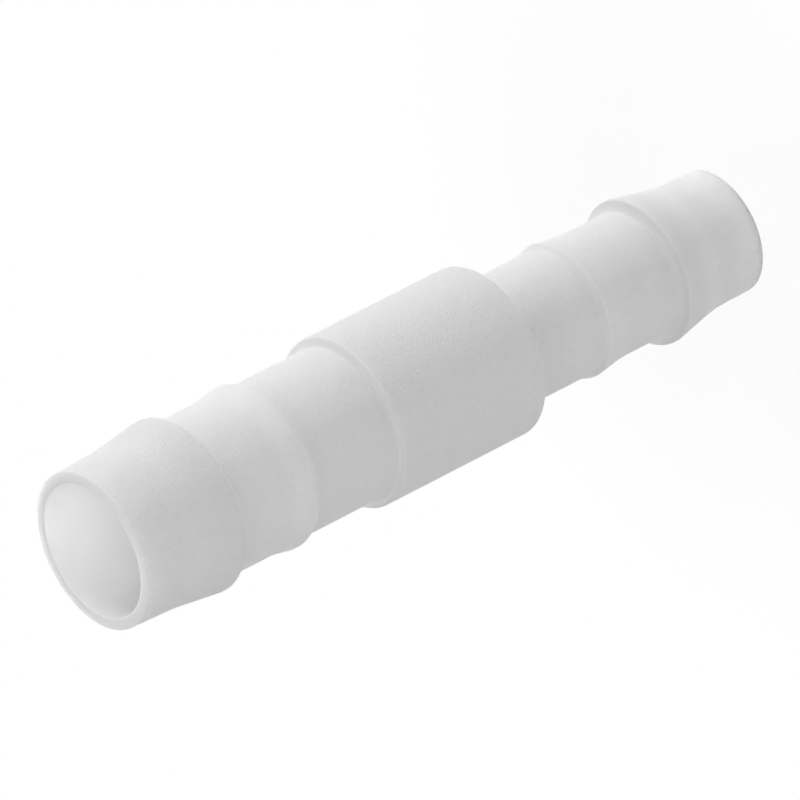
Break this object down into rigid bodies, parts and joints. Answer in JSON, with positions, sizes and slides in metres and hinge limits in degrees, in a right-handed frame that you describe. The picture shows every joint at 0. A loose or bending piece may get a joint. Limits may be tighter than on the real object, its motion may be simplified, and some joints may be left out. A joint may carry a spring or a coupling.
{
  "type": "hose reducer",
  "caption": "Straight plastic hose reducer: a large and a small barbed tail on one axis, with a plain collar between them and a stepped through bore.",
  "frame": {"origin": "centre of the small end face, on the surface that the part stands on", "axes": "+Z along the axis from the small end to the large mouth; X and Y are free, because the part is round"},
  "size_m": [0.013, 0.013, 0.058],
  "materials": {
    "natural_plastic": "natural white, translucent, fine moulded grain"
  },
  "bodies": {
    "root": {"reducer_body": "natural_plastic"}
  },
  "joints": []
}
